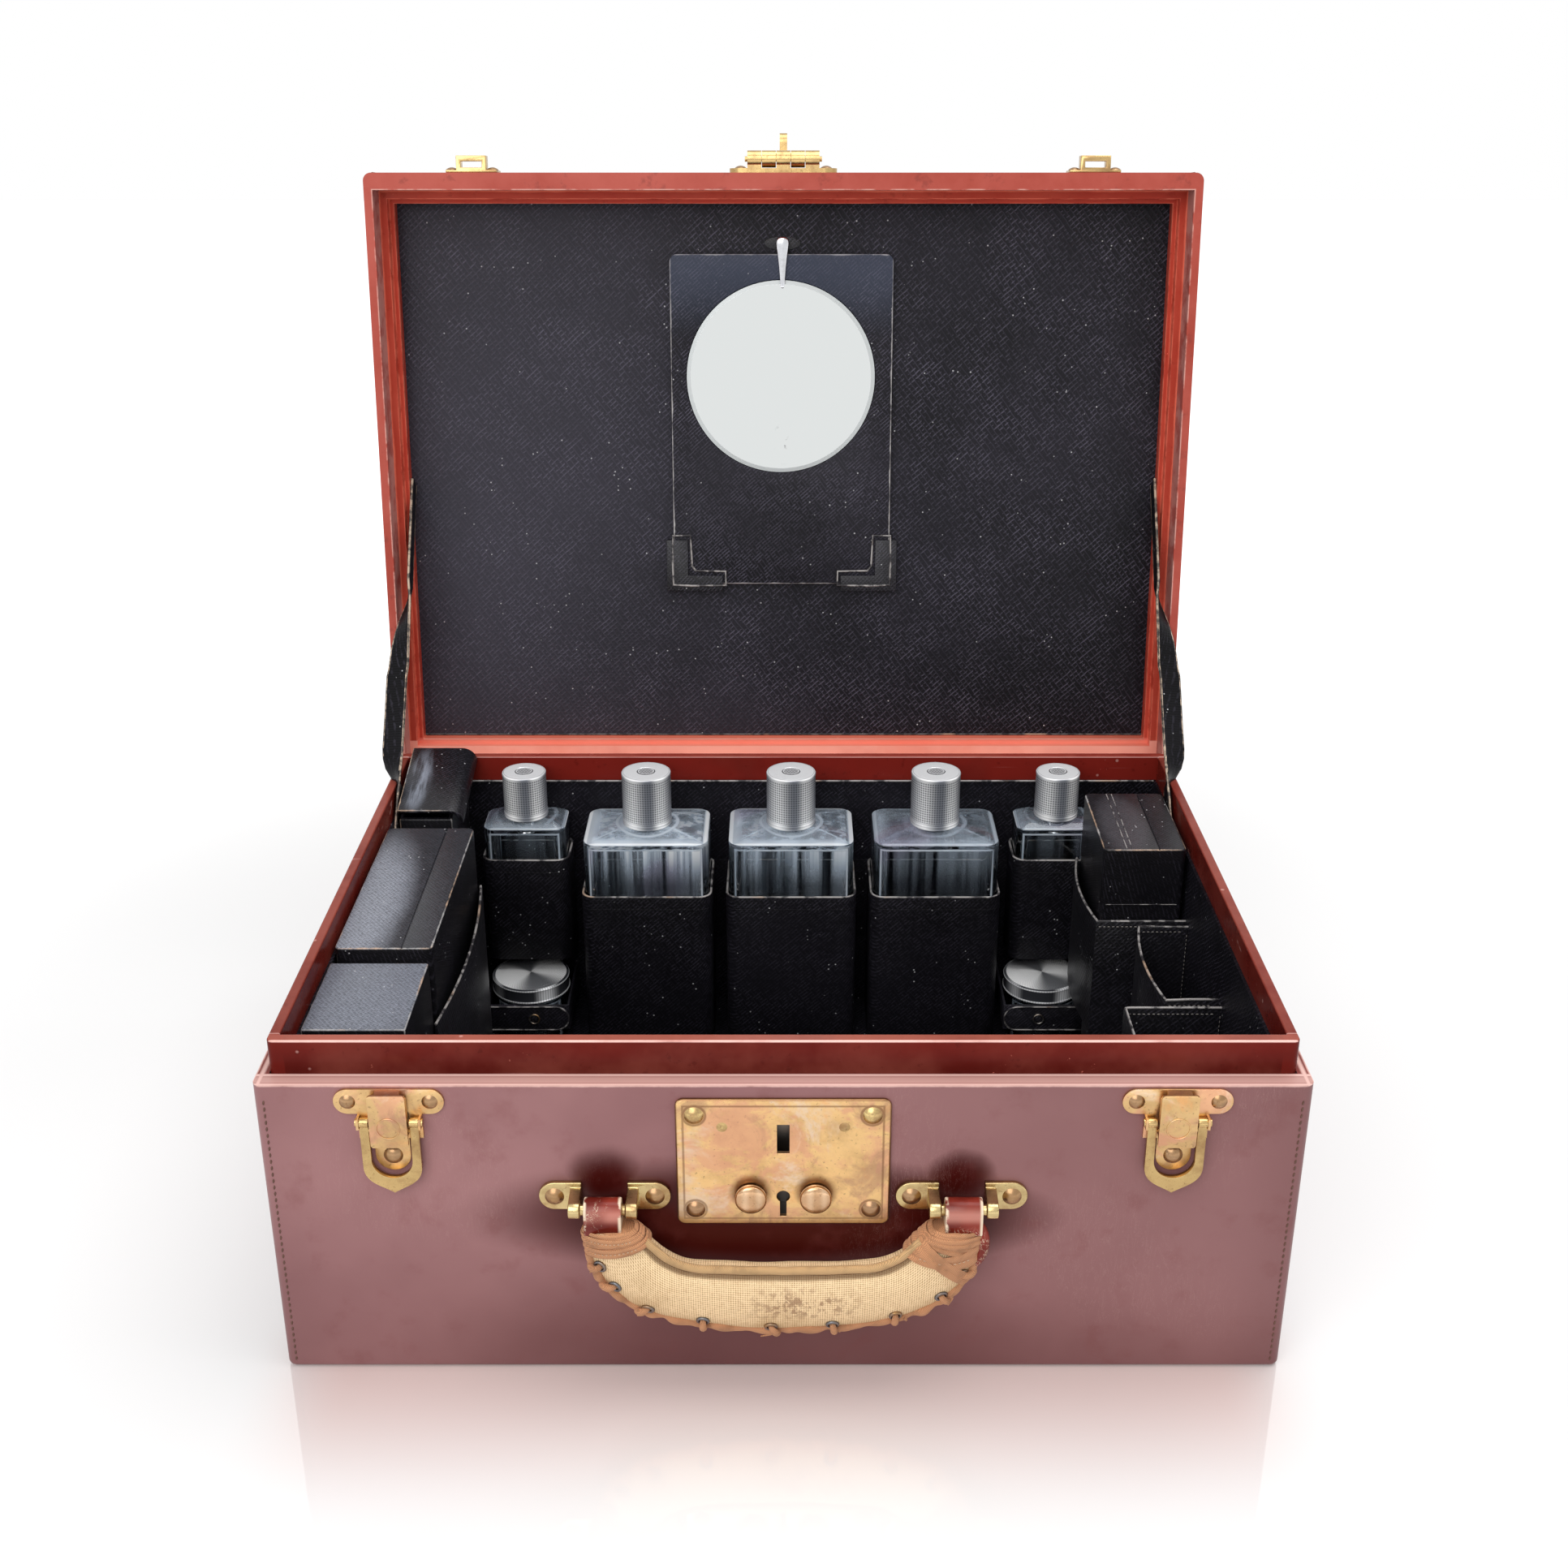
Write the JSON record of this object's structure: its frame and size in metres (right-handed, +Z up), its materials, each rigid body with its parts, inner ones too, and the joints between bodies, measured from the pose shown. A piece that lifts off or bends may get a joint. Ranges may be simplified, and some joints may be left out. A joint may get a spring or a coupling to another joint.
{
  "type": "fitted dressing box",
  "caption": "Leather-covered fitted dressing box with a hinged mirror lid, glass bottles and jars with silver tops in leather holders, leather cases, brass latches and a carrying handle.",
  "frame": {"origin": "centre of the base's flat underside", "axes": "+X to the right as seen from the front, +Y from the front to the hinged back, +Z up; rest pose has the lid open, leaning 7.34 degrees past upright"},
  "size_m": [0.42, 0.416, 0.4642],
  "materials": {
    "case_leather": "worn glossy burgundy leather over a wooden carcass",
    "rim_leather": "worn red-brown leather over wood",
    "lining_leather": "black leather with a fine crossed grain",
    "trim_leather": "black leather, smooth",
    "fitted_case_leather": "black leather with worn tan edges",
    "handle_leather": "red-brown leather, handled and cracked",
    "canvas": "tan woven canvas, laced",
    "brass": "aged, tarnished brass",
    "steel": "plain sheet",
    "glass": "clear, polished",
    "silver": "polished with engine-turned sides",
    "mirror": "bevelled looking glass"
  },
  "bodies": {
    "base": {"base_shell": "case_leather", "base_frame": "rim_leather", "base_lining": "lining_leather", "lock_plate": "brass", "lock_case": "steel", "lock_fasteners": "brass", "latch_plates": "brass", "latch_pins": "brass", "base_rivets": "brass", "handle_brackets": "brass", "base_hinge_leaves": "brass", "hinge_pins": "brass", "bottle_rack": "lining_leather", "jar_left": "glass", "jar_right": "glass", "jar_straps": "lining_leather", "leather_partitions": "lining_leather", "stay_straps": "lining_leather"},
    "lid": {"lid_shell": "case_leather", "lid_moulding": "rim_leather", "lid_panel": "lining_leather", "lid_hinge_leaves": "brass", "catch_plates": "brass", "hasp_plate": "brass", "hasp_pin": "brass", "lid_rivets": "brass", "mirror_board": "lining_leather", "mirror_glass": "mirror", "mirror_corners": "trim_leather", "clip_base": "trim_leather"},
    "hasp": {"hasp_tongue": "brass"},
    "clip": {"mirror_clip": "silver"},
    "handle": {"handle_grip": "handle_leather", "handle_sleeve": "canvas"},
    "lever_left": {"latch_lever_left": "brass"},
    "tongue_left": {"latch_tongue_left": "brass"},
    "button_left": {"lock_button_left": "brass"},
    "jar_lid_left": {"jar_lid_left": "silver"},
    "jar_tab_left": {"jar_tab_left": "lining_leather"},
    "lever_right": {"latch_lever_right": "brass"},
    "tongue_right": {"latch_tongue_right": "brass"},
    "button_right": {"lock_button_right": "brass"},
    "jar_lid_right": {"jar_lid_right": "silver"},
    "jar_tab_right": {"jar_tab_right": "lining_leather"},
    "bottle_left": {"bottle_left": "glass"},
    "cap_left": {"cap_left": "silver"},
    "bottle_centre": {"bottle_centre": "glass"},
    "cap_centre": {"cap_centre": "silver"},
    "bottle_right": {"bottle_right": "glass"},
    "cap_right": {"cap_right": "silver"},
    "bottle_far_left": {"bottle_far_left": "glass"},
    "cap_far_left": {"cap_far_left": "silver"},
    "bottle_far_right": {"bottle_far_right": "glass"},
    "cap_far_right": {"cap_far_right": "silver"},
    "case_front_left": {"case_front_left": "fitted_case_leather"},
    "case_middle_left": {"case_middle_left": "fitted_case_leather"},
    "case_rear_right": {"case_rear_right": "fitted_case_leather"},
    "flap_case": {"flap_case": "fitted_case_leather"},
    "case_flap": {"case_flap": "fitted_case_leather"}
  },
  "joints": [
    {"name": "lid_hinge", "type": "hinge", "parent": "base", "child": "lid", "pos_m": [0, 0.156, 0.1395], "axis": [-1, 0, 0], "range_deg": [-97.34, 0], "deforming": ["stay_straps"]},
    {"name": "handle_swing", "type": "hinge", "parent": "base", "child": "handle", "pos_m": [0, -0.1665, 0.0885], "axis": [-1, 0, 0], "range_deg": [0, 120]},
    {"name": "lever_left_lift", "type": "hinge", "parent": "base", "child": "lever_left", "pos_m": [-0.156, -0.1589, 0.1247], "axis": [-1, 0, 0], "range_deg": [0, 90]},
    {"name": "tongue_left_pivot", "type": "hinge", "parent": "lever_left", "child": "tongue_left", "pos_m": [-0.156, -0.1589, 0.121], "axis": [-1, 0, 0], "range_deg": [-90, 0]},
    {"name": "button_left_slide", "type": "slide", "parent": "base", "child": "button_left", "axis": [-1, 0, 0], "range_m": [0, 0.004], "stiffness_N_per_m": 150, "springref_m": -0.002},
    {"name": "lever_right_lift", "type": "hinge", "parent": "base", "child": "lever_right", "pos_m": [0.156, -0.1589, 0.1247], "axis": [-1, 0, 0], "range_deg": [0, 90]},
    {"name": "tongue_right_pivot", "type": "hinge", "parent": "lever_right", "child": "tongue_right", "pos_m": [0.156, -0.1589, 0.121], "axis": [-1, 0, 0], "range_deg": [-90, 0]},
    {"name": "button_right_slide", "type": "slide", "parent": "base", "child": "button_right", "axis": [1, 0, 0], "range_m": [0, 0.004], "stiffness_N_per_m": 150, "springref_m": -0.002},
    {"name": "hasp_swing", "type": "hinge", "parent": "lid", "child": "hasp", "pos_m": [0, 0.2016, 0.45436], "axis": [1, 0, 0], "range_deg": [0, 180]},
    {"name": "mirror_clip_turn", "type": "hinge", "parent": "lid", "child": "clip", "pos_m": [-0.0005, 0.22219, 0.41067], "axis": [0, -0.9918, 0.1278], "range_deg": [-110, 110]},
    {"name": "bottle_left_lift", "type": "slide", "parent": "base", "child": "bottle_left", "axis": [0, 0, 1], "range_m": [0, 0.12]},
    {"name": "cap_left_lift", "type": "slide", "parent": "bottle_left", "child": "cap_left", "axis": [0, 0, 1], "range_m": [0, 0.03]},
    {"name": "bottle_centre_lift", "type": "slide", "parent": "base", "child": "bottle_centre", "axis": [0, 0, 1], "range_m": [0, 0.12]},
    {"name": "cap_centre_lift", "type": "slide", "parent": "bottle_centre", "child": "cap_centre", "axis": [0, 0, 1], "range_m": [0, 0.03]},
    {"name": "bottle_right_lift", "type": "slide", "parent": "base", "child": "bottle_right", "axis": [0, 0, 1], "range_m": [0, 0.12]},
    {"name": "cap_right_lift", "type": "slide", "parent": "bottle_right", "child": "cap_right", "axis": [0, 0, 1], "range_m": [0, 0.03]},
    {"name": "bottle_far_left_lift", "type": "slide", "parent": "base", "child": "bottle_far_left", "axis": [0, 0, 1], "range_m": [0, 0.12]},
    {"name": "cap_far_left_lift", "type": "slide", "parent": "bottle_far_left", "child": "cap_far_left", "axis": [0, 0, 1], "range_m": [0, 0.03]},
    {"name": "bottle_far_right_lift", "type": "slide", "parent": "base", "child": "bottle_far_right", "axis": [0, 0, 1], "range_m": [0, 0.12]},
    {"name": "cap_far_right_lift", "type": "slide", "parent": "bottle_far_right", "child": "cap_far_right", "axis": [0, 0, 1], "range_m": [0, 0.03]},
    {"name": "jar_lid_left_turn", "type": "hinge", "parent": "base", "child": "jar_lid_left", "pos_m": [-0.1372, 0.1103, 0.0385], "axis": [0, 0, 1], "continuous": true},
    {"name": "jar_tab_left_swing", "type": "hinge", "parent": "base", "child": "jar_tab_left", "pos_m": [-0.1596, 0.0893, 0.0256], "axis": [0, 0, -1], "range_deg": [0, 50]},
    {"name": "jar_lid_right_turn", "type": "hinge", "parent": "base", "child": "jar_lid_right", "pos_m": [0.1404, 0.1103, 0.0385], "axis": [0, 0, 1], "continuous": true},
    {"name": "jar_tab_right_swing", "type": "hinge", "parent": "base", "child": "jar_tab_right", "pos_m": [0.1628, 0.0893, 0.0256], "axis": [0, 0, 1], "range_deg": [0, 50]},
    {"name": "case_front_left_lift", "type": "slide", "parent": "base", "child": "case_front_left", "axis": [0, 0, 1], "range_m": [0, 0.1]},
    {"name": "case_middle_left_lift", "type": "slide", "parent": "base", "child": "case_middle_left", "axis": [0, 0, 1], "range_m": [0, 0.1]},
    {"name": "case_rear_right_lift", "type": "slide", "parent": "base", "child": "case_rear_right", "axis": [0, 0, 1], "range_m": [0, 0.08]},
    {"name": "flap_case_lift", "type": "slide", "parent": "base", "child": "flap_case", "axis": [0, 0, 1], "range_m": [0, 0.08]},
    {"name": "case_flap_open", "type": "hinge", "parent": "flap_case", "child": "case_flap", "pos_m": [-0.1835, 0.1404, 0.1594], "axis": [-1, 0, 0], "range_deg": [0, 75]}
  ],
  "couplings": [
    {"joint": "tongue_left_pivot", "follows": "lever_left_lift", "ratio": -1},
    {"joint": "tongue_right_pivot", "follows": "lever_right_lift", "ratio": -1}
  ]
}
